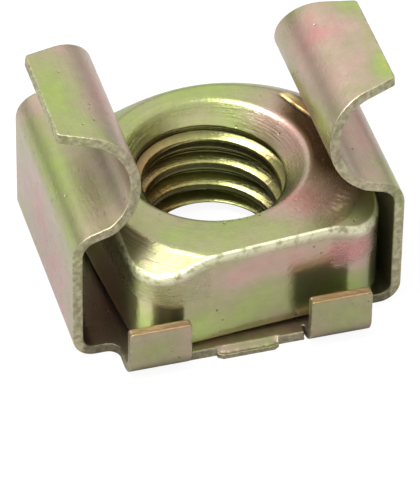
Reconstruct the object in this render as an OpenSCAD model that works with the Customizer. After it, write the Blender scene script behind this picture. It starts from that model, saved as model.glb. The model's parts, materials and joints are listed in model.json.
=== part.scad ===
// Cage nut for a square rack hole: a cage folded from one blank of spring
// steel, and a square nut that lies loose between its walls and tabs.
// The origin is the middle of the cage's underside. The thread's axis is +Z,
// the ears face each other along X, and the tabs stand at both ends along Y.

/* [Sheet] */
// Thickness of the spring steel
sheet_t = 0.4; // [0.3:0.05:0.5]
// Inside radius of the bends at the foot of each wall and tab
foot_r = 0.45; // [0.3:0.05:0.7]
// Inside radius of the bends at the top of each wall
shoulder_r = 0.7; // [0.4:0.05:0.9]

/* [Nut] */
// Width across the nut's flats
nut_w = 10; // [9.6:0.1:10.4]
// Height of the nut
nut_h = 4.25; // [3.8:0.05:4.6]
// Radius of the nut's upright corners
nut_corner_r = 1.8; // [1:0.1:2.2]
// Break of the nut's lower edges
nut_break = 0.25; // [0.1:0.05:0.4]
// Diameter of the flat inside the turned chamfer on top
crown_d = 10.2; // [9.6:0.1:10.8]
// Angle of the turned chamfer, in degrees
crown_angle = 37; // [24:1:40]
// How far the chamfer was turned off the blank's middle, along the nut's own X
crown_off_x = 0.18; // [-0.3:0.02:0.3]
// How far the chamfer was turned off the blank's middle, along the nut's own Y
crown_off_y = -0.45; // [-0.5:0.05:0.3]

/* [Thread] */
// Nominal diameter of the thread
thread_d = 6; // [5:0.5:6]
// Pitch of the thread
thread_pitch = 1; // [0.7:0.05:1]
// Width of the countersink's mouth over the thread
mouth_over = 1.1; // [0.4:0.1:1.4]
// Depth of the countersink, down to the bore
mouth_depth = 1.3; // [0.8:0.05:1.5]
// How far the thread sits off the blank's middle, along the nut's own X
bore_off_x = -0.2; // [-0.4:0.05:0.4]
// How far the thread sits off the blank's middle, along the nut's own Y
bore_off_y = 0.3; // [-0.4:0.05:0.4]

/* [Room for the nut] */
// Play of the nut on the flat between the two walls' foot bends
side_play = 1.1; // [0.8:0.1:1.4]
// Play of the nut between the tabs at its two ends
end_play = 1.4; // [1.1:0.1:1.6]
// Room from the nut's top up to the top of the shoulder
headroom = 1.25; // [1:0.05:1.8]
// How far the loose nut has turned, in degrees
nut_turn = 5; // [0:1:5]
// Gap between the nut and the wall that it has slid towards
side_gap = 0.28; // [0.1:0.02:0.6]
// Gap between the nut and the tabs that it has slid towards
end_gap = 0.33; // [0.1:0.02:0.6]

/* [Walls] */
// Length of each wall along Y
wall_len = 8.6; // [8:0.1:9.2]

/* [Ears] */
// Rise of the flange that runs in from the shoulder, in degrees
flange_rise = 18; // [12:1:24]
// Straight length of the flange
flange_run = 0.7; // [0.4:0.1:1]
// Radius of the groove that takes the edge of the panel's hole
groove_r = 1.4; // [1.2:0.05:1.6]
// Rise of the lip that hooks over the panel, in degrees
lip_rise = 6; // [2:1:12]
// Straight length of the lip
lip_run = 1.25; // [0.9:0.05:1.6]
// Length of the lip along Y
lip_len = 4.9; // [4.4:0.1:6]
// Clipped corner of the lip
lip_clip = 0.15; // [0.05:0.05:0.4]

/* [Base] */
// Clearance of the base's hole over the thread
hole_play = 1; // [0.6:0.1:1.6]
// Width of each tab
tab_w = 2.4; // [2:0.1:2.6]
// Distance of each tab's middle from the middle of the base
tab_x = 3.5; // [3.2:0.1:3.6]
// Height of the tabs
tab_h = 2.25; // [1.8:0.05:2.8]
// How far the base between two tabs stops short of their outer faces
apron_short = 0.5; // [0.4:0.05:0.7]
// Fillet in the blank, between wall and tab
notch_r = 0.45; // [0.2:0.05:0.5]
// Width of the stub where the blank was sheared from its strip
stub_w = 2.4; // [1.5:0.1:3]
// Length of the stub
stub_out = 0.25; // [0.1:0.05:0.28]
// Thickness of the stub, where it tore
stub_t = 0.2; // [0.1:0.05:0.3]

/* [Hidden] */
$fn = 96;
arc_step = 6;                                  // degrees between points on a bend
over = 1;                                      // how far a cut runs past a face
turn_over = 60;                                // past this angle the ear is trimmed from above
foot_out = foot_r + sheet_t;
shoulder_out = shoulder_r + sheet_t;

// What the cage takes from the nut
cage_w = nut_w + side_play + 2 * foot_out;     // over the two walls
tab_span = nut_w + end_play + 2 * sheet_t;     // over the tabs' outer faces
shoulder_h = sheet_t + nut_h + headroom;
apron_len = tab_span - 2 * apron_short;
base_hole_d = thread_d + hole_play;

// The thread's bore, at the crests of a 60 degree thread
crest_share = 1.25 * cos(30);                  // twice the thread's depth, over its pitch
bore_d = thread_d - crest_share * thread_pitch;
mouth_d = thread_d + mouth_over;

// Where the loose nut lies
nut_reach = (nut_w / 2 - nut_corner_r) * (cos(nut_turn) + sin(abs(nut_turn))) + nut_corner_r;
nut_x = cage_w / 2 - sheet_t - nut_reach - side_gap;
nut_y = nut_reach + end_gap - (tab_span / 2 - sheet_t);

// Each fold is [straight run, bend in degrees, inside radius]
ear_folds = [
    [cage_w / 2 - foot_out, 90, foot_r],
    [shoulder_h - foot_out - shoulder_out, 90 - flange_rise, shoulder_r],
    [flange_run, flange_rise + lip_rise - 180, groove_r],
    [lip_run, 0, 0]
];
tab_root = tab_span / 2 - foot_out;
tab_folds = [[over, 90, foot_r], [tab_h - foot_out, 0, 0]];

// The groove's centre, seen along Y, and how the trapezoid ear narrows from there to its tip
groove_from = flange_rise - 90;                // where the groove starts, in degrees round its centre
groove_sweep = 180 - flange_rise - lip_rise;
groove_x = cage_w / 2 - shoulder_out + (shoulder_out + groove_r) * sin(flange_rise)
    - flange_run * cos(flange_rise);
groove_z = shoulder_h - shoulder_out + (shoulder_out + groove_r) * cos(flange_rise)
    + flange_run * sin(flange_rise);
mid_r = groove_r + sheet_t / 2;
ear_run = mid_r * groove_sweep * PI / 180 + lip_run;
tip_x = groove_x - groove_r * sin(lip_rise) + lip_run * cos(lip_rise);
tip_z = groove_z + groove_r * cos(lip_rise) + lip_run * sin(lip_rise) + sheet_t;

// Half the ear's length where the groove has come round to an angle
function ear_half(angle) =
    (wall_len - (wall_len - lip_len) * mid_r * (angle - groove_from) * PI / 180 / ear_run) / 2;

// The line along one face of a folded strip. A bend above 0 turns up, round a centre
// over the sheet, and one below 0 turns down.
function fold_line(folds, depth, at, dir = 0, i = 0) =
    let (
        ahead = [cos(dir), sin(dir)],
        up = [-sin(dir), cos(dir)],
        bend = folds[i][1],
        side = sign(bend),
        centre_off = bend > 0 ? folds[i][2] + sheet_t : folds[i][2],
        turn_at = at + folds[i][0] * ahead,
        centre = turn_at + side * centre_off * up,
        r = centre_off - side * depth,
        steps = ceil(abs(bend) / arc_step),
        end_dir = dir + bend,
        end_at = centre - side * centre_off * [-sin(end_dir), cos(end_dir)]
    )
    concat(
        [at + depth * up],
        bend == 0 ? [turn_at + depth * up] :
            [for (k = [0 : steps]) let (d = dir + bend * k / steps) centre - side * r * [-sin(d), cos(d)]],
        i + 1 < len(folds) ? fold_line(folds, depth, end_at, end_dir, i + 1) : []
    );

function reversed(list) = [for (i = [len(list) - 1 : -1 : 0]) list[i]];

// A strip of the sheet that starts flat on the ground at start and folds up along X
module folded(folds, start, width) {
    from = [start, 0];
    rotate([90, 0, 0])
        linear_extrude(width, center = true)
            polygon(concat(fold_line(folds, 0, from), reversed(fold_line(folds, sheet_t, from))));
}

module at_corner(x, y) {
    mirror([x < 0 ? 1 : 0, 0, 0]) mirror([0, y < 0 ? 1 : 0, 0]) children();
}

// What is cut off the blank beside one ear, seen from the wall's side
module side_trim() {
    past = wall_len / 2 + over;
    steps = ceil((turn_over - groove_from) / arc_step);
    rotate([90, 0, 90])
        linear_extrude(cage_w + 2 * over)
            polygon(concat(
                [for (k = [0 : steps])
                    let (angle = groove_from + (turn_over - groove_from) * k / steps)
                    [ear_half(angle), groove_z + mid_r * sin(angle)]],
                [[ear_half(turn_over), tip_z + over], [past, tip_z + over],
                 [past, groove_z + mid_r * sin(groove_from)]]
            ));
}

// What is cut off beside the lip, seen from above, with the tip's clipped corner
module lip_trim() {
    past = wall_len / 2 + over;
    from_x = groove_x - mid_r * cos(turn_over);
    from_y = ear_half(turn_over);
    slope = (from_y - lip_len / 2) / (tip_x - from_x);
    translate([0, 0, groove_z])
        linear_extrude(tip_z - groove_z + over)
            polygon([
                [from_x, from_y],
                [tip_x - lip_clip, lip_len / 2 + slope * lip_clip],
                [tip_x + over, lip_len / 2 - lip_clip - over],
                [tip_x + over, past],
                [from_x, past]
            ]);
}

// Base seen from above: the strip between the walls, the apron between the tabs,
// the tongues that the tabs turn up from, and a fillet at the outer side of each
module base_outline() {
    tab_out = tab_x + tab_w / 2;
    difference() {
        union() {
            square([cage_w - 2 * foot_out, wall_len], center = true);
            square([2 * tab_out, 2 * tab_root], center = true);
            square([2 * tab_x - tab_w, apron_len], center = true);
            for (x = [-1, 1], y = [-1, 1])
                at_corner(x, y)
                    translate([tab_out - over, wall_len / 2 - over])
                        square(over + notch_r);
        }
        for (x = [-1, 1], y = [-1, 1])
            at_corner(x, y)
                translate([tab_out + notch_r, wall_len / 2 + notch_r])
                    circle(notch_r);
        circle(d = base_hole_d);
    }
}

// Torn end of the web that joined this blank to the next one
module stub() {
    neck = stub_w / 2 - stub_out;
    linear_extrude(stub_t)
        polygon([
            [-stub_w / 2, apron_len / 2 - over], [stub_w / 2, apron_len / 2 - over],
            [stub_w / 2, apron_len / 2], [neck, apron_len / 2 + stub_out],
            [-neck, apron_len / 2 + stub_out], [-stub_w / 2, apron_len / 2]
        ]);
}

module cage() {
    color([0.66, 0.64, 0.45]) {
        difference() {
            for (side = [0, 1]) mirror([side, 0, 0]) folded(ear_folds, 0, wall_len);
            for (x = [-1, 1], y = [-1, 1]) at_corner(x, y) {
                side_trim();
                lip_trim();
            }
            translate([0, 0, -over]) cylinder(h = sheet_t + 2 * over, d = base_hole_d);
        }
        linear_extrude(sheet_t) base_outline();
        for (x = [-1, 1], y = [-1, 1])
            at_corner(x, y)
                translate([tab_x, 0, 0])
                    rotate(90) folded(tab_folds, tab_root - over, tab_w);
        for (y = [-1, 1]) at_corner(1, y) stub();
    }
}

module nut_outline() {
    flat = nut_w - 2 * nut_corner_r;
    square([nut_w, flat], center = true);
    square([flat, nut_w], center = true);
    for (x = [-1, 1], y = [-1, 1])
        translate([x * flat / 2, y * flat / 2]) circle(nut_corner_r);
}

// A bar as wide as the nut, with its two lower edges broken
module broken_bar() {
    foot = nut_w / 2 - nut_break;
    rise = nut_h + over;
    rotate([90, 0, 0])
        linear_extrude(2 * nut_w, center = true)
            polygon([[-foot, 0], [foot, 0], [foot + rise, rise], [-foot - rise, rise]]);
}

// The turned top: flat inside the crown, then a cone that takes off the blank's corners
module crown() {
    drop = (nut_w - crown_d / 2) * tan(crown_angle);
    rotate_extrude()
        polygon([[0, -over], [nut_w, -over], [nut_w, nut_h - drop], [crown_d / 2, nut_h], [0, nut_h]]);
}

module square_nut() {
    color([0.62, 0.62, 0.42])
        translate([nut_x, nut_y, sheet_t])
            rotate(nut_turn)
                difference() {
                    intersection() {
                        linear_extrude(nut_h) nut_outline();
                        broken_bar();
                        rotate(90) broken_bar();
                        translate([crown_off_x, crown_off_y, 0]) crown();
                    }
                    translate([bore_off_x, bore_off_y, 0]) {
                        translate([0, 0, -over]) cylinder(h = nut_h + 2 * over, d = bore_d);
                        translate([0, 0, nut_h - mouth_depth])
                            cylinder(h = mouth_depth, d1 = bore_d, d2 = mouth_d);
                    }
                }
}

cage();
square_nut();
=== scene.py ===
"""A cage nut in yellow zinc: the folded spring-steel cage and its loose square nut with an M6 thread.

The cage is cut as a flat blank, its sheared edges are rounded and roughened, and four press bends fold it.
The nut is turned as rings round its section, then tapped. Sizes are in millimetres until the mesh is made.
"""

import json
import math

import bpy
from mathutils import Matrix, Vector, geometry, kdtree, noise


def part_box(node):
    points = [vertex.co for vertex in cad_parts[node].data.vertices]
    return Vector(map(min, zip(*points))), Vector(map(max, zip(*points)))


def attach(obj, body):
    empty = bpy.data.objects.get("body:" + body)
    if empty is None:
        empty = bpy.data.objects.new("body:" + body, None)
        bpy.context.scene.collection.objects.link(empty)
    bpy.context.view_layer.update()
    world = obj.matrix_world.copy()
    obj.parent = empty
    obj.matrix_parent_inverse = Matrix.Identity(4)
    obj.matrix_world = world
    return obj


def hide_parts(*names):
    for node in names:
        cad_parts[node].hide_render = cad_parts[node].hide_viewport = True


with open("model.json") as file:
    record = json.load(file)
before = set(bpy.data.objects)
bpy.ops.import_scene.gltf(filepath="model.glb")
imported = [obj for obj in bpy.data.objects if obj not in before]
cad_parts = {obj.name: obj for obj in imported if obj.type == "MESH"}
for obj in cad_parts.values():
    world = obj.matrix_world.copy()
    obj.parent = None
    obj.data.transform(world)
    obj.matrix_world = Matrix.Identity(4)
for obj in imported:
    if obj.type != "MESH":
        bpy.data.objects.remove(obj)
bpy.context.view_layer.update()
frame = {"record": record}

MM = 0.001
QUARTER = math.pi / 2

# Sheet and bends
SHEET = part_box("square_nut")[0].z / MM         # the nut rests on the base
FOOT_R = 0.45
SHOULDER_R = 0.7
GROOVE_R = 1.4
FLANGE_RISE = math.radians(18)                 # of the sloped shoulder, and of the lip
LIP_RISE = math.radians(6)
SHOULDER_BEND = QUARTER - FLANGE_RISE
GROOVE_BEND = math.pi - FLANGE_RISE - LIP_RISE

# Blank
CAGE_W = 12.8
WALL_LEN = 8.6
SHOULDER_H = 5.9
FLANGE_RUN = 0.7
LIP_RUN = 1.25
LIP_LEN = 4.9
HOLE_R = 3.5
TAB_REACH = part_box("cage")[1].y / MM           # outer face of the tabs
TAB_W = 2.4
TAB_X = 3.5
TAB_H = 2.25
APRON = 5.6
NOTCH_R = 0.45
SLIT = 0.08
STUB_W = 2.4
STUB_OUT = 0.25
STUB_T = 0.2
STUB_CORNER = 0.2
STUB_KNEE = 0.12                               # its sides flare below this height
STUB_STEP = 0.06                               # over this length the sheet thins onto the stub
TAB_CORNER = 0.12
LIP_CORNER = 0.2
EDGE_CLEAR = 0.07                              # inner points keep this far from every edge

# Where the bends lie on the flat blank, measured along the middle of the sheet
FOOT_AT = CAGE_W / 2 - FOOT_R - SHEET
WALL_AT = FOOT_AT + (FOOT_R + SHEET / 2) * QUARTER
WALL_RUN = SHOULDER_H - FOOT_R - SHOULDER_R - 2 * SHEET
SHOULDER_AT = WALL_AT + WALL_RUN
FLANGE_AT = SHOULDER_AT + (SHOULDER_R + SHEET / 2) * SHOULDER_BEND
GROOVE_AT = FLANGE_AT + FLANGE_RUN
LIP_AT = GROOVE_AT + (GROOVE_R + SHEET / 2) * GROOVE_BEND
TIP_AT = LIP_AT + LIP_RUN
TAB_AT = TAB_REACH - FOOT_R - SHEET
TAB_UP = TAB_AT + (FOOT_R + SHEET / 2) * QUARTER
TAB_END = TAB_UP + TAB_H - FOOT_R - SHEET

# Sheared edge: how far in from the outline each ring lies, and its height as a share of the sheet
EDGE_IN = 0.11
EDGE_RINGS = [
    (0.11, 1.0), (0.07, 0.998), (0.04, 0.985), (0.018, 0.955), (0.005, 0.9), (0.0, 0.82),
    (0.0, 0.68), (0.0, 0.54), (0.0, 0.4), (0.0, 0.26), (0.0, 0.14), (0.006, 0.06),
    (0.022, 0.015), (0.05, 0.002), (0.11, 0.0),
]
EDGE_ROUGH = 0.035                             # depth of the torn part of the edge
EDGE_STEP = 0.08                               # spacing of points along the outline
BEND_STEP = math.radians(6)

# Nut
NUT_LOW, NUT_HIGH = [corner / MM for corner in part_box("square_nut")]
NUT_MID = (NUT_LOW + NUT_HIGH) / 2
NUT_TOP = NUT_HIGH.z
NUT_HALF = 5.0
NUT_CORNER_R = 1.8
NUT_TURN = math.radians(5)
NUT_BREAK = 0.25
CROWN_R = 5.1
CROWN_SLOPE = math.tan(math.radians(37))
CROWN_OFF = Vector((0.18, -0.45))
CROWN_BLEND = 0.07
CROWN_AT = NUT_MID.xy + Matrix.Rotation(NUT_TURN, 2) @ CROWN_OFF
LIP_OUT = Vector((0.938, 0.347))               # across the torn lip, along the nut's own axes
LIP_WAY = Vector((-0.347, 0.938))              # and along it
LIP_PAST = 4.42                                # from the nut's middle out to the furrow
LIP_MIDDLE = 0.4
LIP_HALF = 1.2
RIDGE_HIGH, RIDGE_PAST, RIDGE_WIDE = 0.085, 0.09, 0.07
FURROW_DEEP, FURROW_PAST, FURROW_WIDE = 0.05, -0.05, 0.05
CROWN_FROM = 4.25                              # the top is flat up to here, from the nut's middle
THREAD_MOUNT = [m for m in frame["record"]["mounts"] if m["name"] == "thread"][0]
BORE_AT = Vector(THREAD_MOUNT["pos_m"]).xy / MM
BORE_R = THREAD_MOUNT["dims"]["r_mm"]
BORE_TOP = NUT_LOW.z + THREAD_MOUNT["dims"]["length_mm"]
MOUTH_R = 3.55
THREAD_R = 3.0
PITCH = 1.0
THREAD_TURN = 0.52                             # where the thread starts, in turns
CREST_SHARE = 0.16                             # flat of a crest, and length of a flank, over the pitch
FLANK_SHARE = 0.29
MOUTH_ROUND = 0.2
TOP_ROUND = 0.13
BREAK_ROUND = 0.08
BELL = 0.22                                    # how much wider the bore is at its top than at its foot


# ---------------------------------------------------------------- node trees

class Wire:
    """A node's output that adds, subtracts, multiplies and divides like a number."""

    def __init__(self, bench, socket):
        self.bench = bench
        self.socket = socket

    def _math(self, operation, *values):
        return self.bench.node("ShaderNodeMath", {"operation": operation}, values)

    def __add__(self, other):
        return self._math("ADD", self, other)

    __radd__ = __add__

    def __sub__(self, other):
        return self._math("SUBTRACT", self, other)

    def __rsub__(self, other):
        return self._math("SUBTRACT", other, self)

    def __mul__(self, other):
        return self._math("MULTIPLY", self, other)

    __rmul__ = __mul__

    def __truediv__(self, other):
        return self._math("DIVIDE", self, other)

    def __gt__(self, other):
        return self._math("GREATER_THAN", self, other)

    def __lt__(self, other):
        return self._math("LESS_THAN", self, other)

    def __abs__(self):
        return self._math("ABSOLUTE", self)

    def least(self, other):
        return self._math("MINIMUM", self, other)

    def most(self, other):
        return self._math("MAXIMUM", self, other)

    def sine(self):
        return self._math("SINE", self)

    def cosine(self):
        return self._math("COSINE", self)

    def root(self):
        return self._math("SQRT", self)

    def fraction(self):
        return self._math("FRACT", self)


class Bench:
    """A node tree under construction, for a material or for geometry."""

    def __init__(self, tree):
        self.tree = tree

    def node(self, kind, settings=None, values=(), out=0):
        made = self.tree.nodes.new(kind)
        for name, setting in (settings or {}).items():
            setattr(made, name, setting)
        pairs = values.items() if isinstance(values, dict) else enumerate(values)
        for key, value in pairs:
            self.plug(made.inputs[key], value)
        return Wire(self, made.outputs[out]) if made.outputs else None

    def plug(self, socket, value):
        if isinstance(value, Wire):
            self.tree.links.new(value.socket, socket)
        elif value is not None:
            socket.default_value = value

    def outputs(self, wire, *names):
        return [Wire(self, wire.socket.node.outputs[name]) for name in names]


# ---------------------------------------------------------------- meshes

def make_piece(name, points, faces):
    mesh = bpy.data.meshes.new(name)
    mesh.from_pydata([Vector(point) * MM for point in points], [], faces)
    mesh.validate()
    mesh.update()
    piece = bpy.data.objects.new(name, mesh)
    bpy.context.scene.collection.objects.link(piece)
    for face in mesh.polygons:
        face.use_smooth = True
    return piece


def set_attribute(piece, name, values):
    piece.data.attributes.new(name, "FLOAT", "POINT").data.foreach_set("value", values)


def freeze(piece, material):
    """Applies the piece's modifiers and leaves a plain mesh of one material."""
    bpy.context.view_layer.update()
    shaped = piece.evaluated_get(bpy.context.evaluated_depsgraph_get())
    mesh = bpy.data.meshes.new_from_object(shaped)
    piece.modifiers.clear()
    piece.data = mesh
    mesh.materials.clear()
    mesh.materials.append(material)
    for face in mesh.polygons:
        face.use_smooth = True
    return piece


def add_tree(piece, tree, material, **sizes):
    """Adds a geometry node tree as a modifier, with its named sizes."""
    modifier = piece.modifiers.new(tree.name, "NODES")
    modifier.node_group = tree
    for item in tree.interface.items_tree:
        if item.item_type == "SOCKET" and item.in_out == "INPUT" and item.name in sizes:
            modifier[item.identifier] = sizes[item.name]
        if item.item_type == "SOCKET" and item.name == "Finish":
            modifier[item.identifier] = material


def new_tree(name, sizes):
    """An empty geometry tree with one float input for each size, and its bench and inputs."""
    tree = bpy.data.node_groups.new(name, "GeometryNodeTree")
    tree.interface.new_socket("Geometry", in_out="INPUT", socket_type="NodeSocketGeometry")
    for size in sizes:
        tree.interface.new_socket(size, in_out="INPUT", socket_type="NodeSocketFloat")
    tree.interface.new_socket("Finish", in_out="INPUT", socket_type="NodeSocketMaterial")
    tree.interface.new_socket("Geometry", in_out="OUTPUT", socket_type="NodeSocketGeometry")
    bench = Bench(tree)
    entry = bench.node("NodeGroupInput")
    inputs = {name: wire for name, wire in zip(
        ["Geometry", *sizes, "Finish"],
        bench.outputs(entry, "Geometry", *sizes, "Finish"))}
    return tree, bench, inputs


def close_tree(bench, moved, finish):
    """Ends a geometry tree: real geometry, one material."""
    real = bench.node("GeometryNodeRealizeInstances", None, {"Geometry": moved})
    dressed = bench.node("GeometryNodeSetMaterial", None, {"Geometry": real, "Material": finish})
    exit_node = bench.tree.nodes.new("NodeGroupOutput")
    bench.plug(exit_node.inputs["Geometry"], dressed)


# ---------------------------------------------------------------- the flat blank

def arc(centre, radius, start, end, steps):
    """Points on an arc, both ends included; angles in degrees."""
    turns = [math.radians(start + (end - start) * k / steps) for k in range(steps + 1)]
    return [(centre[0] + radius * math.cos(t), centre[1] + radius * math.sin(t)) for t in turns]


def ear_half(along):
    """Half the ear's length at a place along the blank."""
    past_groove = max(along - GROOVE_AT, 0)
    return (WALL_LEN - (WALL_LEN - LIP_LEN) * past_groove / (TIP_AT - GROOVE_AT)) / 2


def quarter_outline():
    """One quarter of the blank, from the stub on the Y axis round to the lip on the X axis."""
    tab_in = TAB_X - TAB_W / 2
    tab_out = TAB_X + TAB_W / 2
    slit_mid = tab_in - SLIT / 2
    corner = TAB_CORNER
    stub_half = STUB_W / 2
    points = [(0, APRON + STUB_OUT), (stub_half - STUB_CORNER, APRON + STUB_OUT),
              (stub_half, APRON + STUB_KNEE), (stub_half + 0.02, APRON), (tab_in - SLIT, APRON)]
    points += arc((slit_mid, TAB_AT), SLIT / 2, 180, 360, 6)
    points += arc((tab_in + corner, TAB_END - corner), corner, 180, 90, 6)
    points += arc((tab_out - corner, TAB_END - corner), corner, 90, 0, 6)
    points += arc((tab_out + NOTCH_R, WALL_LEN / 2 + NOTCH_R), NOTCH_R, 180, 270, 14)
    points += [(GROOVE_AT, WALL_LEN / 2)]
    lip_half = LIP_LEN / 2 + 0.02
    points += arc((TIP_AT - LIP_CORNER, lip_half - LIP_CORNER), LIP_CORNER, 78, 0, 6)
    points += [(TIP_AT, 0)]
    return points


def mirrored_round(quarter):
    """The whole closed outline from its quarter, anticlockwise."""
    first = quarter[::-1]                      # from the X axis to the Y axis
    second = [(-x, y) for x, y in quarter][1:]
    half = first + second
    return half + [(-x, -y) for x, y in half[1:-1]]


def spaced(points, step):
    """The closed outline with points no further apart than step."""
    out = []
    for here, after in zip(points, points[1:] + points[:1]):
        length = math.dist(here, after)
        parts = max(1, math.ceil(length / step))
        out += [(here[0] + (after[0] - here[0]) * k / parts,
                 here[1] + (after[1] - here[1]) * k / parts) for k in range(parts)]
    return out


def inward(points):
    """The direction into the sheet at each point of an anticlockwise outline."""
    out = []
    for before, here, after in zip(points[-1:] + points[:-1], points, points[1:] + points[:1]):
        ahead = (Vector(here) - Vector(before)).normalized() + (Vector(after) - Vector(here)).normalized()
        ahead.normalize()
        out.append(Vector((-ahead.y, ahead.x)))
    return out


def sheet_height(x, y):
    """Thickness of the blank: full, and thinner on the torn stub."""
    past = (abs(y) - APRON) / STUB_STEP + 0.5
    on_stub = min(max(past, 0), 1) if abs(x) < STUB_W / 2 + 0.1 else 0
    return SHEET + (STUB_T - SHEET) * on_stub


def grid_stations(marks, step):
    """Places along one side of the blank: the marks, and evenly between them."""
    out = []
    for (low, fine), (high, _) in zip(marks, marks[1:]):
        parts = max(1, math.ceil((high - low) / (fine or step)))
        out += [low + (high - low) * k / parts for k in range(parts)]
    return out + [marks[-1][0]]


def on_blank(x, y):
    if y <= WALL_LEN / 2:
        return y <= ear_half(x)
    if y <= APRON:
        return x < TAB_X + TAB_W / 2
    return abs(x - TAB_X) < TAB_W / 2 or (x < STUB_W / 2 and y < APRON + STUB_OUT)


def inner_points(edge_points):
    """Grid points over the blank, finer in the bends, and clear of every edge."""
    foot_step = (FOOT_R + SHEET / 2) * BEND_STEP
    along = grid_stations([
        (0, None), (FOOT_AT, foot_step), (WALL_AT, None),
        (SHOULDER_AT, (SHOULDER_R + SHEET / 2) * BEND_STEP), (FLANGE_AT, None),
        (GROOVE_AT, (GROOVE_R + SHEET / 2) * BEND_STEP), (LIP_AT, None), (TIP_AT, None)], 0.3)
    across = grid_stations([(0, None), (TAB_AT, foot_step), (TAB_UP, None), (TAB_END, None)], 0.3)
    tree = kdtree.KDTree(len(edge_points))
    for index, point in enumerate(edge_points):
        tree.insert((*point, 0), index)
    tree.balance()
    points = []
    for x in along:
        for y in across:
            if not on_blank(x, y):
                continue
            if tree.find((x, y, 0))[2] < EDGE_CLEAR:
                continue
            points += {(sx * x, sy * y) for sx in (-1, 1) for sy in (-1, 1)}
    return points


def is_inside(point, outline):
    x, y = point
    inside = False
    for (x0, y0), (x1, y1) in zip(outline, outline[1:] + outline[:1]):
        if (y0 > y) != (y1 > y) and x < (x1 - x0) * (y - y0) / (y1 - y0) + x0:
            inside = not inside
    return inside


def flat_blank():
    """The blank as a closed sheet: two faces, and rounded, torn edges between them."""
    outline = spaced(mirrored_round(quarter_outline()), EDGE_STEP)
    hole_steps = round(2 * math.pi * HOLE_R / EDGE_STEP)
    hole = arc((0, 0), HOLE_R, 360, 0, hole_steps)[:-1]
    points = []
    faces = []
    sheared = []
    rims = []
    for loop in (outline, hole):
        into = inward(loop)
        rings = []
        for inset, share in EDGE_RINGS:
            ring = []
            for (x, y), side in zip(loop, into):
                torn = 4 * share * (1 - share)
                rough = 0.5 + 0.5 * noise.noise(Vector((x, y, share * 0.8)) * 7)
                rough += 0.35 * noise.noise(Vector((x, y, share * 0.8)) * 19)
                depth = inset + EDGE_ROUGH * torn * max(rough, 0)
                ring.append(len(points))
                x_in = x + side.x * depth
                y_in = y + side.y * depth
                points.append((x_in, y_in, share * sheet_height(x_in, y_in)))
                sheared.append(1.0 if inset < 0.03 else 0.5 if inset < EDGE_IN else 0.0)
            rings.append(ring)
        for upper, lower in zip(rings, rings[1:]):
            for k in range(len(loop)):
                after = (k + 1) % len(loop)
                faces.append((upper[k], lower[k], lower[after], upper[after]))
        rims.append((rings[0], rings[-1]))
    rim_points = [points[i][:2] for i in rims[0][0] + rims[1][0]]
    filled = inner_points(rim_points)
    flat = [Vector(p) for p in rim_points] + [Vector(p) for p in filled]
    count = len(rims[0][0])
    total = len(rim_points)
    edges = [(k, (k + 1) % count) for k in range(count)]
    edges += [(count + k, count + (k + 1) % (total - count)) for k in range(total - count)]
    verts, _, tris, origins, _, _ = geometry.delaunay_2d_cdt(flat, edges, [], 0, 1e-6)
    outer = [points[i][:2] for i in rims[0][0]]
    top_of = {}
    low_of = {}
    top_rim = rims[0][0] + rims[1][0]
    low_rim = rims[0][1] + rims[1][1]
    for k, sources in enumerate(origins):
        source = sources[0] if sources else None
        if source is not None and source < total:
            top_of[k] = top_rim[source]
            low_of[k] = low_rim[source]
        else:
            x, y = verts[k]
            top_of[k] = len(points)
            points.append((x, y, sheet_height(x, y)))
            low_of[k] = len(points)
            points.append((x, y, 0))
            sheared += [0.0, 0.0]
    for tri in tris:
        middle = sum((verts[k] for k in tri), Vector((0, 0))) / 3
        if middle.length < HOLE_R or not is_inside(middle, outer):
            continue
        faces.append([top_of[k] for k in tri])
        faces.append([low_of[k] for k in reversed(tri)])
    return points, faces, sheared


def press_bend():
    """A tree that folds everything past a line round a centre over (+1) or under (-1) the sheet.
    Along is 0 to fold what lies out along X, and 1 along Y; points nearer the middle than Beside stay."""
    tree, bench, size = new_tree("press_bend", ["Start", "Angle", "Inside Radius", "Sheet", "Side",
                                                "Along", "Beside"])
    place = bench.node("GeometryNodeInputPosition")
    split = bench.node("ShaderNodeSeparateXYZ", None, [place])
    x, y, z = bench.outputs(split, "X", "Y", "Z")
    along = size["Along"]
    out = x + (y - x) * along                  # the coordinate that folds
    beside = y + (x - y) * along
    way = 1 - 2 * (out < 0)
    run = abs(out) - size["Start"]
    middle_r = size["Inside Radius"] + size["Sheet"] / 2
    length = middle_r * size["Angle"]
    turn = run.most(0).least(length) / middle_r
    beyond = (run - length).most(0)
    over = 0.5 + 0.5 * size["Side"]            # 1 for a bend up, 0 for one down
    centre = (size["Inside Radius"] + size["Sheet"]) * over - size["Inside Radius"] * (1 - over)
    radius = size["Side"] * (centre - z)
    far = size["Start"] + run.least(0) + turn.sine() * radius + turn.cosine() * beyond
    high = centre - size["Side"] * (turn.cosine() * radius - turn.sine() * beyond)
    folds = (run > 0) * (abs(beside) > size["Beside"])
    new_out = way * far
    bent = bench.node("ShaderNodeCombineXYZ", None, [
        new_out + (x - new_out) * along, y + (new_out - y) * along, high])
    moved = bench.node("GeometryNodeSetPosition", None, {
        "Geometry": size["Geometry"], "Selection": folds, "Position": bent})
    close_tree(bench, moved, size["Finish"])
    return tree


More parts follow.
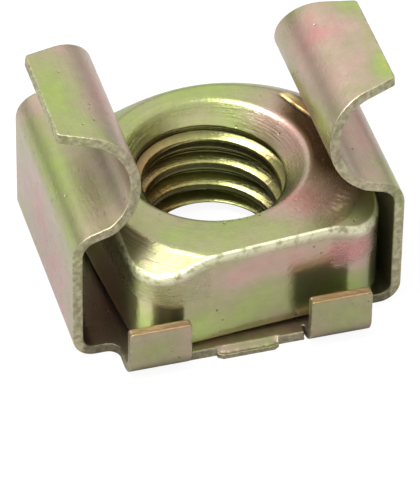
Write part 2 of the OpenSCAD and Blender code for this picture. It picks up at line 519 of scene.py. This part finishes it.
def make_cage(finish):
    points, faces, sheared = flat_blank()
    cage = make_piece("cage_sheet", points, faces)
    set_attribute(cage, "sheared", sheared)
    bend = press_bend()
    folds = [
        (GROOVE_AT, GROOVE_BEND, GROOVE_R, -1, 0, -1),
        (SHOULDER_AT, SHOULDER_BEND, SHOULDER_R, 1, 0, -1),
        (FOOT_AT, QUARTER, FOOT_R, 1, 0, -1),
        (TAB_AT, QUARTER, FOOT_R, 1, 1, TAB_X - TAB_W / 2 - SLIT / 4),
    ]
    for start, angle, inside, side, along, beside in folds:
        add_tree(cage, bend, finish, **{
            "Start": start * MM, "Angle": angle, "Inside Radius": inside * MM, "Sheet": SHEET * MM,
            "Side": float(side), "Along": float(along), "Beside": beside * MM})
    return freeze(cage, finish)


# ---------------------------------------------------------------- the nut

def flat_reach(turn):
    """Distance from the blank's middle to its rounded square outline."""
    across, down = sorted((abs(math.cos(turn)), abs(math.sin(turn))), reverse=True)
    corner = NUT_HALF - NUT_CORNER_R
    if NUT_HALF * down / across <= corner:
        return NUT_HALF / across
    along = corner * (across + down)
    return along + math.sqrt(along ** 2 - 2 * corner ** 2 + NUT_CORNER_R ** 2)


def torn_lip(at):
    """Height of the lip torn up beside the back right corner: a small furrow, then a ridge."""
    past = at.dot(LIP_OUT) - LIP_PAST - 0.05 * noise.noise(Vector((at.x * 2.5, at.y * 2.5, 3)))
    along = at.dot(LIP_WAY) - LIP_MIDDLE
    fade = math.exp(-(along / LIP_HALF) ** 6)
    ridge = RIDGE_HIGH * math.exp(-((past - RIDGE_PAST) / RIDGE_WIDE) ** 2)
    furrow = FURROW_DEEP * math.exp(-((past - FURROW_PAST) / FURROW_WIDE) ** 2)
    return fade * (ridge - furrow)


def crown_height(turn, reach):
    """Height of the nut's top: flat, then the cone turned off the middle, with a soft line between them."""
    at = Vector((math.cos(turn), math.sin(turn))) * reach
    past = ((at - CROWN_OFF).length - CROWN_R) / CROWN_BLEND
    soft = past if past > 30 else math.log1p(math.exp(past))
    drop = CROWN_SLOPE * CROWN_BLEND * soft
    lip = torn_lip(at)
    if lip > 0:
        lip = min(lip, drop + 0.6 * lip)       # where the top is flat the ridge is rubbed lower
    return NUT_TOP - drop + lip


def curve_through(start, corner, end, steps):
    """A quadratic curve that rounds a corner, both ends included."""
    out = []
    for k in range(steps + 1):
        t = k / steps
        out.append(start * (1 - t) ** 2 + corner * 2 * t * (1 - t) + end * t ** 2)
    return out


def nut_section(turn):
    """The nut's section in one direction, from the foot of the bore up, over and back under.
    Each entry is (centre weight, reach, height): the weight is 0 round the bore and 1 round the blank.
    Also gives the first and last entry of the edge between top and side, which carries the burr and its
    painted highlight."""
    reach = flat_reach(turn)
    out = []
    rows = round((BORE_TOP - NUT_LOW.z) / 0.025)
    for k in range(rows):
        out.append((0, BORE_R, NUT_LOW.z + (BORE_TOP - NUT_LOW.z) * k / rows))
    cone = Vector((MOUTH_R - BORE_R, NUT_TOP - BORE_TOP))
    lip = cone.normalized() * MOUTH_ROUND
    corner = Vector((MOUTH_R, NUT_TOP))
    low = corner - lip
    rows = round(cone.length / 0.035)
    for k in range(rows):
        out.append((0, BORE_R + (low.x - BORE_R) * k / rows, BORE_TOP + (low.y - BORE_TOP) * k / rows))
    for point in curve_through(low, corner, corner + Vector((MOUTH_ROUND, 0)), 7):
        out.append((0, point.x, point.y))
    flat_from = MOUTH_R + MOUTH_ROUND
    for k in range(1, 4):
        out.append((k / 4, flat_from + (CROWN_FROM - flat_from) * k / 4, NUT_TOP))
    slope_to = reach - TOP_ROUND
    for k in range(29):
        at = CROWN_FROM + (slope_to - CROWN_FROM) * k / 28
        out.append((1, at, crown_height(turn, at)))
    burr_highlight = (len(out) - 1, len(out) + 7)
    edge = Vector((reach, crown_height(turn, reach)))
    slope_end = Vector((slope_to, crown_height(turn, slope_to)))
    side_from = edge - Vector((0, TOP_ROUND))
    for point in curve_through(slope_end, edge, side_from, 7)[1:]:
        out.append((1, point.x, point.y))
    side_to = NUT_LOW.z + NUT_BREAK + BREAK_ROUND
    for k in range(1, 12):
        out.append((1, reach, side_from.y + (side_to - side_from.y) * k / 12))
    low_edge = Vector((reach, NUT_LOW.z + NUT_BREAK))
    foot = Vector((reach - NUT_BREAK, NUT_LOW.z))
    for point in curve_through(Vector((reach, side_to)), low_edge, (low_edge + foot) / 2, 4):
        out.append((1, point.x, point.y))
    for point in curve_through((low_edge + foot) / 2, foot, foot - Vector((BREAK_ROUND, 0)), 4)[1:]:
        out.append((1, point.x, point.y))
    under_from = foot.x - BREAK_ROUND
    for k in range(1, 5):
        out.append((1 - k / 5, under_from + (BORE_R - under_from) * k / 5, NUT_LOW.z))
    return out, burr_highlight


def tap_thread():
    """A tree that cuts a right-hand thread outwards from a bore along Z: flat crests, sloped flanks,
    a bell mouth at the top and a run-out at the foot."""
    tree, bench, size = new_tree("tap_thread", ["Centre X", "Centre Y", "Bore Radius", "Root Radius",
                                                "Pitch", "Turn", "Crest Share", "Flank Share",
                                                "Foot", "Rise", "Bell"])
    place = bench.node("GeometryNodeInputPosition")
    split = bench.node("ShaderNodeSeparateXYZ", None, [place])
    x, y, z = bench.outputs(split, "X", "Y", "Z")
    across = x - size["Centre X"]
    down = y - size["Centre Y"]
    radius = (across * across + down * down).root()
    turn = bench.node("ShaderNodeMath", {"operation": "ARCTAN2"}, [down, across])
    phase = (z / size["Pitch"] - turn / (2 * math.pi) + size["Turn"] + 10).fraction()
    from_crest = abs(phase - 0.5)              # 0 in the middle of a crest, 0.5 in the middle of a root
    share = ((from_crest - size["Crest Share"] / 2) / size["Flank Share"]).most(0).least(1)
    # the flank leaves the crest and meets the root without a hard line
    share = share * share * (3 - 2 * share) * 0.35 + share * 0.65
    up = ((z - size["Foot"]) / size["Rise"]).most(0).least(1)
    # the bore opens like a bell towards the top, and the last turn runs out at the foot
    share = share * (up * 12).least(1)
    depth = size["Root Radius"] - size["Bore Radius"]
    cut = size["Bore Radius"] + (depth * share).most(size["Bell"] * up * up)
    grown = radius.most(cut) / radius
    bore = radius < size["Root Radius"]
    cut_at = bench.node("ShaderNodeCombineXYZ", None, [
        size["Centre X"] + across * grown, size["Centre Y"] + down * grown, z])
    moved = bench.node("GeometryNodeSetPosition", None, {
        "Geometry": size["Geometry"], "Selection": bore, "Position": cut_at})
    close_tree(bench, moved, size["Finish"])
    return tree


def make_nut(finish):
    columns = 288
    points = []
    burred = []
    middle = Vector(NUT_MID.xy)
    for k in range(columns):
        turn = 2 * math.pi * k / columns
        ahead = Vector((math.cos(turn + NUT_TURN), math.sin(turn + NUT_TURN)))
        section, (burr_highlight_from, burr_highlight_to) = nut_section(turn)
        for row, (weight, reach, height) in enumerate(section):
            centre = BORE_AT.lerp(middle, weight)
            points.append((*(centre + ahead * reach), height))
            burred.append(1.0 if burr_highlight_from <= row < burr_highlight_to else 0.0)
    rings = len(section)
    faces = []
    for k in range(columns):
        after = (k + 1) % columns
        for j in range(rings):
            up = (j + 1) % rings
            faces.append((k * rings + j, k * rings + up, after * rings + up, after * rings + j))
    nut = make_piece("threaded_nut", points, faces)
    set_attribute(nut, "burred", burred)
    add_tree(nut, tap_thread(), finish, **{
        "Centre X": BORE_AT.x * MM, "Centre Y": BORE_AT.y * MM, "Bore Radius": BORE_R * MM,
        "Root Radius": THREAD_R * MM, "Pitch": PITCH * MM, "Turn": THREAD_TURN,
        "Crest Share": CREST_SHARE, "Flank Share": FLANK_SHARE,
        "Foot": NUT_LOW.z * MM, "Rise": (BORE_TOP - NUT_LOW.z) * MM, "Bell": BELL * MM})
    return freeze(nut, finish)


# ---------------------------------------------------------------- finishes

def new_material(name):
    material = bpy.data.materials.new(name)
    material.use_nodes = True
    material.node_tree.nodes.clear()
    return material, Bench(material.node_tree)


def place_in_mm(bench):
    """Object coordinates in millimetres: the vector, then x, y and z."""
    place = bench.node("ShaderNodeTexCoord")
    where = bench.node("ShaderNodeVectorMath", {"operation": "SCALE"}, {
        "Vector": bench.outputs(place, "Object")[0], "Scale": 1 / MM})
    split = bench.node("ShaderNodeSeparateXYZ", None, [where])
    return where, *bench.outputs(split, "X", "Y", "Z")


def vector(bench, x, y, z):
    return bench.node("ShaderNodeCombineXYZ", None, [x, y, z])


def cloud(bench, where, scale, detail=2.0, roughness=0.5, distortion=0.0):
    """Soft noise round 0, from about -0.5 to 0.5."""
    return bench.node("ShaderNodeTexNoise", {"noise_dimensions": "3D"}, {
        "Vector": where, "Scale": scale, "Detail": detail, "Roughness": roughness,
        "Distortion": distortion}) - 0.5


def step(bench, value, low, high):
    """0 below low, 1 above high, and smooth between them; low may be above high."""
    return bench.node("ShaderNodeMapRange", {"interpolation_type": "SMOOTHSTEP", "clamp": True}, {
        "Value": value, "From Min": low, "From Max": high, "To Min": 0.0, "To Max": 1.0})


def patch(bench, where, centre, radius):
    """A soft spot round a point on the piece: 1 at its middle, 0 past its radius."""
    away = bench.node("ShaderNodeVectorMath", {"operation": "SUBTRACT"}, [where, centre])
    shape = tuple(1 / r for r in radius)
    away = bench.node("ShaderNodeVectorMath", {"operation": "MULTIPLY"}, [away, shape])
    far = bench.node("ShaderNodeVectorMath", {"operation": "LENGTH"}, [away], out="Value")
    return step(bench, far, 1.0, 0.15)


def add_patches(bench, where, value, spots):
    """Raises or lowers a value in soft spots: (centre, radius, amount)."""
    for centre, radius, amount in spots:
        value = value + amount * patch(bench, where, centre, radius)
    return value


def scale_patches(bench, where, value, spots):
    """Scales a value by 1 + amount in soft spots."""
    for centre, radius, amount in spots:
        value = value * (1 + amount * patch(bench, where, centre, radius))
    return value


def dim(bench, tone, shade):
    """A colour made darker or lighter."""
    return bench.node("ShaderNodeVectorMath", {"operation": "SCALE"}, {"Vector": tone, "Scale": shade})


def blend(bench, share, first, second):
    return bench.node("ShaderNodeMix", {"data_type": "RGBA", "blend_type": "MIX"}, {
        "Factor": share, 6: first, 7: second}, out=2)


def colour(red, green, blue):
    """A colour given as it shows on screen, 0 to 255."""
    return tuple((((c / 255) + 0.055) / 1.055) ** 2.4 for c in (red, green, blue)) + (1,)


# The zinc's film, from thin to thick
FILM = [
    (0.00, colour(200, 142, 139)),
    (0.12, colour(194, 157, 143)),
    (0.26, colour(188, 164, 148)),
    (0.42, colour(174, 163, 132)),
    (0.58, colour(166, 165, 121)),
    (0.74, colour(164, 175, 108)),
    (0.88, colour(158, 179, 100)),
    (1.00, colour(190, 176, 96)),
]


def film_colour(bench, film):
    ramp = bench.tree.nodes.new("ShaderNodeValToRGB")
    ramp.color_ramp.interpolation = "B_SPLINE"
    stops = ramp.color_ramp.elements
    while len(stops) < len(FILM):
        stops.new(0.5)
    for stop, (place, tone) in zip(stops, FILM):
        stop.position = place
        stop.color = tone
    bench.plug(ramp.inputs["Fac"], film)
    return Wire(bench, ramp.outputs["Color"])


def plated_metal(bench, tone, roughness, height, depth):
    """The shader of both zinc plated pieces: tone and roughness vary, height is a bump."""
    bump = bench.node("ShaderNodeBump", None, {
        "Strength": 1.0, "Distance": depth * MM, "Height": height})
    shader = bench.node("ShaderNodeBsdfPrincipled", None, {
        "Base Color": tone, "Metallic": 0.88, "Roughness": roughness, "Normal": bump})
    bench.node("ShaderNodeOutputMaterial", None, {"Surface": shader})


def specks(bench, where, scale, size):
    """Pinholes: small round spots scattered over the plate."""
    spots = bench.node("ShaderNodeTexVoronoi", {"feature": "F1"}, {
        "Vector": where, "Scale": scale, "Randomness": 1.0})
    return step(bench, spots, size, size * 0.4)


def cage_zinc():
    material, bench = new_material("cage_zinc")
    where, x, y, z = place_in_mm(bench)
    sheared = bench.node("ShaderNodeAttribute", {"attribute_name": "sheared"}, out="Fac")
    film = 0.42 + 1.0 * cloud(bench, where, 0.28, 2.5, 0.55, 0.6)
    film = film + 0.35 * cloud(bench, where, 1.3, 3.0, 0.6, 0.8)
    spots = [
        ((-6.4, 0, 2.5), (2.2, 6.5, 3.2), -0.30),       # left wall, rose
        ((-6.2, 0, 5.6), (1.4, 5.5, 1.0), 0.30),        # left shoulder, green
        ((-6.2, -3.6, 4.2), (1.2, 1.6, 2.4), 0.15),
        ((-6.0, 0.5, 9.1), (1.5, 4.0, 1.0), 0.34),      # left lip, green at its free edge
        ((-3.9, 0, 8.6), (1.1, 5.0, 1.6), -0.22),       # and rose round the groove's back
        ((-4.9, -2.6, 6.8), (1.0, 1.6, 0.9), 0.18),
        ((-5.2, -0.8, 6.6), (0.6, 1.2, 0.8), -0.25),
        ((4.6, 0, 8.8), (2.6, 3.6, 2.0), -0.26),        # right ear, rose
        ((4.2, 3.4, 9.0), (1.0, 1.2, 1.0), 0.30),
        ((6.2, -1.6, 9.2), (0.9, 1.3, 0.8), 0.42),      # its free corner, green
        ((6.2, 2.4, 9.2), (1.0, 1.0, 0.8), 0.30),
        ((5.4, -1.0, 5.9), (1.6, 3.0, 0.8), -0.12),
        ((6.2, -3.4, 5.4), (1.0, 1.6, 1.4), 0.22),
        ((-3.5, -6.0, 1.2), (1.8, 0.8, 1.6), 0.24),     # tabs and front edge, khaki
        ((3.5, -6.0, 1.2), (1.8, 0.8, 1.6), 0.16),
        ((0, -5.6, 0.4), (3.0, 0.9, 0.6), 0.14),
    ]
    film = add_patches(bench, where, film, spots)
    stroke = cloud(bench, vector(bench, x * 3.2, y * 0.35, z * 3.2), 1.0, 3.0, 0.6, 0.3)
    film = film + 0.16 * stroke
    tone = film_colour(bench, film)
    shade = 1.0 + 0.30 * cloud(bench, where, 2.2, 4.0, 0.65) + 0.16 * stroke
    # painted shade inside the cage, between the walls and below the shoulders
    inside = step(bench, abs(x), 6.1, 5.9) * step(bench, z, 5.6, 5.2)
    shade = shade * (1.0 - 0.45 * inside)
    pits = specks(bench, where, 2.6, 0.16) * step(bench, cloud(bench, where, 0.7, 2.0), 0.0, 0.12)
    edge_grain = cloud(bench, where, 5.0, 4.0, 0.6)
    edge_tone = blend(bench, step(bench, edge_grain, -0.18, 0.2),
                      colour(138, 132, 104), colour(200, 194, 162))
    # painted light: the tabs and the sheet's front and back edges made lighter low down
    foot = step(bench, z, 2.6, 2.2) * step(bench, abs(y), 4.9, 5.1)
    shade = shade * (1 + 0.55 * foot)
    # painted shade in the left groove and on the left wall
    shade = scale_patches(bench, where, shade, [
        ((-4.9, -1.0, 6.6), (1.5, 3.8, 1.0), -0.30),    # left groove, painted shade
        ((-6.4, 0, 2.6), (1.2, 6.0, 3.0), -0.16),
    ])
    tab_top = step(bench, z, 2.14, 2.2) * step(bench, abs(y), 5.4, 5.5) * step(bench, z, 2.5, 2.4)
    edge_tone = blend(bench, tab_top * 0.8, edge_tone, colour(186, 148, 98))
    tone = blend(bench, sheared * 0.7, tone, edge_tone)
    tone = blend(bench, pits * 0.6, tone, colour(84, 72, 48))
    tone = dim(bench, tone, shade)
    grain = cloud(bench, vector(bench, x * 12, y * 2.2, z * 12), 1.0, 4.0, 0.65)
    roughness = 0.30 + 0.10 * cloud(bench, where, 1.7, 3.0) + 0.12 * grain + 0.14 * sheared
    height = grain * 0.45 + cloud(bench, where, 7.0, 4.0, 0.6) * 0.5 - pits * 0.8
    height = height + sheared * edge_grain * 1.2
    plated_metal(bench, tone, roughness, height, 0.02)
    return material


def from_axis(bench, x, y, middle):
    """Distance and turn of a point from an upright axis."""
    across = x - middle.x
    down = y - middle.y
    turn = bench.node("ShaderNodeMath", {"operation": "ARCTAN2"}, [down, across])
    return (across * across + down * down).root(), turn


def on_nut(x, y, z):
    """A place given along the nut's own sides, as a place on the whole object."""
    at = NUT_MID.xy + Matrix.Rotation(NUT_TURN, 2) @ Vector((x, y))
    return (at.x, at.y, z)


def place_along(bench, where, way):
    """How far a point lies from the nut's middle in a direction given along its own sides."""
    way = Matrix.Rotation(NUT_TURN, 2) @ way
    reach = bench.node("ShaderNodeVectorMath", {"operation": "DOT_PRODUCT"}, [where, (way.x, way.y, 0)],
                       out="Value")
    return reach - NUT_MID.xy.dot(way)


def near(bench, value, middle, reach):
    """A soft ridge: 1 where the value is in the middle, 0 past its reach."""
    return step(bench, abs(value - middle), reach, reach * 0.25)


def thread_shade(bench, out, turn, z, shade_mottle):
    """Light and dark of the tapped thread: dark crests, flanks that fade inwards, and a thin bright root."""
    lift = z / PITCH - turn / (2 * math.pi) + THREAD_TURN + 10
    phase = lift.fraction() - 0.5 + 0.05 * shade_mottle
    flank = step(bench, abs(phase), 0.42, 0.12)
    shade = 0.30 + 0.75 * flank
    shade = shade * (1 - 0.72 * step(bench, abs(phase), 0.125, 0.075))
    shade = shade + 0.65 * near(bench, abs(phase), 0.455, 0.035)
    # painted highlight along the foot of the countersink
    lip = near(bench, z, BORE_TOP + 0.02, 0.06) * step(bench, out, THREAD_R + 0.02, THREAD_R - 0.1)
    return shade + 0.7 * lip


def painted_ear_reflection(bench, where, out):
    """Painted reflection of the right ear's dark underside: the top made darker and browner at the right,
    beside the ear and outside the countersink.
    """
    ear_reflection = patch(bench, where, on_nut(4.3, 0.4, 4.6), (1.9, 4.4, 2.0))
    return (ear_reflection * (1.5 + 1.2 * cloud(bench, where, 1.2, 3.0))).least(1) * step(bench, out, 3.6, 3.9)


def scratch_highlight_comb(bench, where, crown_out, crown_turn):
    """Short turned scratches side by side round the front right shoulder, with a painted highlight along
    them.
    """
    comb = near(bench, crown_out, 4.55, 0.42) * patch(bench, where, on_nut(3.1, -3.4, 4.6), (1.2, 1.2, 1.2))
    grain = cloud(bench, vector(bench, crown_turn * 26, crown_out * 2.5, 0), 1.0, 3.0)
    return comb * step(bench, grain, -0.05, 0.2)


def lip_shadow_and_highlight(bench, where, z):
    """The torn lip: a painted shadow along its furrow, and past it a bright gold tone with a painted
    highlight.
    """
    past = place_along(bench, where, LIP_OUT) - LIP_PAST
    along = abs(place_along(bench, where, LIP_WAY) - LIP_MIDDLE)
    lip = step(bench, along, LIP_HALF + 0.1, LIP_HALF - 0.2) * step(bench, z, 4.0, 4.3)
    bright = lip * step(bench, past, -0.02, 0.04) * step(bench, past, 0.5, 0.3)
    dark = lip * near(bench, past, -0.06, 0.08)
    return dark, bright


def nut_zinc():
    material, bench = new_material("nut_zinc")
    where, x, y, z = place_in_mm(bench)
    out, turn = from_axis(bench, x, y, BORE_AT)
    crown_out, crown_turn = from_axis(bench, x, y, CROWN_AT)
    top = step(bench, z, NUT_TOP - 0.85, NUT_TOP - 0.15)
    film = 0.56 + 0.85 * cloud(bench, where, 0.30, 2.5, 0.55, 0.6)
    film = film + 0.30 * cloud(bench, where, 1.5, 3.0, 0.6, 0.8)
    spots = [
        ((3.4, 0.8, 4.6), (2.4, 4.2, 1.2), -0.34),      # top at the right, rose
        ((2.6, -3.0, 4.6), (2.4, 1.8, 1.2), -0.38),
        ((1.4, -5.0, 3.6), (4.4, 1.4, 1.3), -0.42),     # front, rose along its top
        ((4.4, -4.4, 3.2), (1.8, 1.6, 1.5), -0.62),
        ((-2.4, -5.0, 1.2), (3.6, 1.4, 1.6), 0.30),     # and green low down at the left
        ((3.6, -4.9, 1.4), (1.6, 1.2, 1.4), 0.22),
        ((-3.0, 2.6, 4.6), (3.2, 3.2, 1.2), 0.16),      # top at the back, green
        ((1.2, 4.4, 4.6), (2.6, 1.2, 1.0), 0.18),
        ((-1.4, -3.6, 4.6), (3.2, 1.6, 1.0), 0.12),
    ]
    film = add_patches(bench, where, film, spots)
    turned = cloud(bench, vector(bench, out * 9.0, turn * 1.6, z * 9.0), 1.0, 4.0, 0.7)
    skimmed = cloud(bench, vector(bench, crown_out * 8.0, crown_turn * 1.3, z * 8.0), 1.0, 4.0, 0.7)
    chamfer = step(bench, crown_out, CROWN_R - 0.05, CROWN_R + 0.12) * step(bench, z, 2.4, 2.8)
    tone = film_colour(bench, film + 0.12 * turned)
    in_bore = step(bench, out, MOUTH_R + 0.05, MOUTH_R - 0.1)
    in_thread = step(bench, out, THREAD_R + 0.06, THREAD_R + 0.02) * step(bench, z, 3.86, 3.8)
    gold = blend(bench, step(bench, turn, 1.2, 2.6), colour(172, 172, 108), colour(170, 138, 84))
    gold = blend(bench, step(bench, turn, 1.1, 0.2), gold, colour(120, 112, 62))
    tone = blend(bench, in_thread * 0.8, tone, gold)
    # noise that makes the painted thread shade uneven
    shade_mottle = cloud(bench, where, 5.0, 4.0, 0.7)
    shade = 1.0 + 0.30 * cloud(bench, where, 2.4, 4.0, 0.65) + 0.18 * turned
    # painted light and shade of the tapped thread
    tapped = thread_shade(bench, out, turn, z, shade_mottle)
    shade = shade * (1 + in_thread * (tapped * (1 + 0.9 * shade_mottle) - 1))
    # painted light and shade: the nut made lighter or darker in these spots
    painted_shade_spots = [
        ((-4.0, -4.6, 2.0), (1.3, 1.3, 2.6), 0.9),      # front left corner, painted lighter
        ((-2.4, -5.0, 1.0), (3.6, 1.4, 1.2), 0.25),
        ((-0.4, -3.4, 4.6), (3.6, 1.6, 0.8), -0.14),
        ((-3.2, 0.4, 3.9), (1.4, 2.4, 1.0), 0.45),      # left of the countersink, painted lighter
        ((0.4, 2.9, 4.0), (2.6, 1.0, 0.8), 0.22),
    ]
    shade = scale_patches(bench, where, shade, painted_shade_spots)
    # painted reflection of the ear: the top darkened and browned beside it
    ear_reflection = painted_ear_reflection(bench, where, out)
    shade = shade * (1 - 0.72 * ear_reflection)
    # painted highlight on the scratches at the front right shoulder
    shade = shade * (1 + 1.6 * scratch_highlight_comb(bench, where, crown_out, crown_turn))
    lip_shadow, lip_highlight = lip_shadow_and_highlight(bench, where, z)
    # painted shadow in the lip's furrow, painted highlight past it
    shade = shade * (1 - 0.6 * lip_shadow) * (1 + 2.2 * lip_highlight)
    pits = specks(bench, where, 2.4, 0.15) * step(bench, cloud(bench, where, 0.8, 2.0), 0.0, 0.12)
    tone = blend(bench, ear_reflection * 0.7, tone, colour(176, 132, 78))
    # gold tone under the lip's painted highlight
    tone = blend(bench, lip_highlight * 0.7, tone, colour(196, 170, 104))
    # burr along the nut's top edge: a whiter tone and a painted highlight
    burr_highlight = bench.node("ShaderNodeAttribute", {"attribute_name": "burred"}, out="Fac")
    burr_highlight = burr_highlight * step(bench, cloud(bench, where, 3.2, 3.0, 0.6), -0.22, 0.06)
    tone = blend(bench, burr_highlight * 0.75, tone, colour(214, 212, 184))
    shade = shade + 0.35 * burr_highlight
    tone = blend(bench, pits * 0.6, tone, colour(88, 74, 48))
    tone = dim(bench, tone, shade)
    roughness = 0.20 + 0.10 * cloud(bench, where, 1.7, 3.0) + 0.10 * turned + 0.08 * chamfer
    roughness = roughness + 0.08 * top + 0.15 * burr_highlight
    height = turned * (0.5 * top + 0.5 * in_bore) + cloud(bench, where, 6.0, 4.0, 0.6) * 0.5
    height = height + skimmed * chamfer * 2.2
    plated_metal(bench, tone, roughness, height - pits * 0.8, 0.02)
    return material


def floor_paint():
    """Plain white: seen directly it is evenly lit, and in reflections it keeps its shadows."""
    material, bench = new_material("pale_floor")
    paint = bench.node("ShaderNodeBsdfDiffuse", None, {"Color": (0.52, 0.52, 0.52, 1)})
    lit = bench.node("ShaderNodeEmission", None, {"Color": (1, 1, 1, 1), "Strength": 1.14})
    seen = bench.node("ShaderNodeLightPath", out="Is Camera Ray")
    even = bench.node("ShaderNodeMixShader", None, [seen * 0.8, paint, lit])
    bench.node("ShaderNodeOutputMaterial", None, {"Surface": even})
    return material


# ---------------------------------------------------------------- studio

def make_floor():
    reach = 400
    floor = make_piece("floor", [(-reach, -reach, 0), (reach, -reach, 0), (reach, reach, 0),
                                 (-reach, reach, 0)], [(0, 1, 2, 3)])
    floor.data.materials.append(floor_paint())


def make_sky():
    """A light tent: brightest overhead, darker low down."""
    world = bpy.data.worlds.new("studio")
    bpy.context.scene.world = world
    world.use_nodes = True
    world.node_tree.nodes.clear()
    bench = Bench(world.node_tree)
    place = bench.node("ShaderNodeTexCoord")
    split = bench.node("ShaderNodeSeparateXYZ", None, [bench.outputs(place, "Generated")[0]])
    x, y, z = bench.outputs(split, "X", "Y", "Z")
    strength = 0.35 + 0.75 * step(bench, z, 0.0, 0.6)
    glow = bench.node("ShaderNodeBackground", None, {"Color": (1, 1, 1, 1), "Strength": strength})
    bench.node("ShaderNodeOutputWorld", None, {"Surface": glow})


def make_light(name, place, aim, size, power):
    lamp = bpy.data.lights.new(name, "AREA")
    lamp.shape = "RECTANGLE"
    lamp.size = size[0] * MM
    lamp.size_y = size[1] * MM
    lamp.energy = power
    light = bpy.data.objects.new(name, lamp)
    bpy.context.scene.collection.objects.link(light)
    light.location = Vector(place) * MM
    light.rotation_euler = (Vector(aim) - Vector(place)).to_track_quat("-Z", "Y").to_euler()
    return light


def make_camera():
    place = Vector((-38.37, -128.97, 117.24))
    aim = Vector((-0.54, -2.24, 2.59))
    roll = math.radians(0.98)
    lens = bpy.data.cameras.new("camera")
    lens.lens = 343.4
    lens.sensor_width = 36
    lens.clip_start = 0.01
    lens.clip_end = 10
    camera = bpy.data.objects.new("camera", lens)
    bpy.context.scene.collection.objects.link(camera)
    look = (aim - place).to_track_quat("-Z", "Y").to_matrix() @ Matrix.Rotation(roll, 3, "Z")
    camera.matrix_world = Matrix.Translation(place * MM) @ look.to_4x4()
    bpy.context.scene.camera = camera


bpy.context.scene.view_settings.view_transform = "Standard"
make_camera()
make_sky()
make_floor()
make_light("top_softbox", (-55, 10, 150), (0, 0, 4), (90, 90), 0.25)

cage = make_cage(cage_zinc())
nut = make_nut(nut_zinc())
for piece, node in ((cage, "cage"), (nut, "square_nut")):
    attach(piece, "root")
    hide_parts(node)
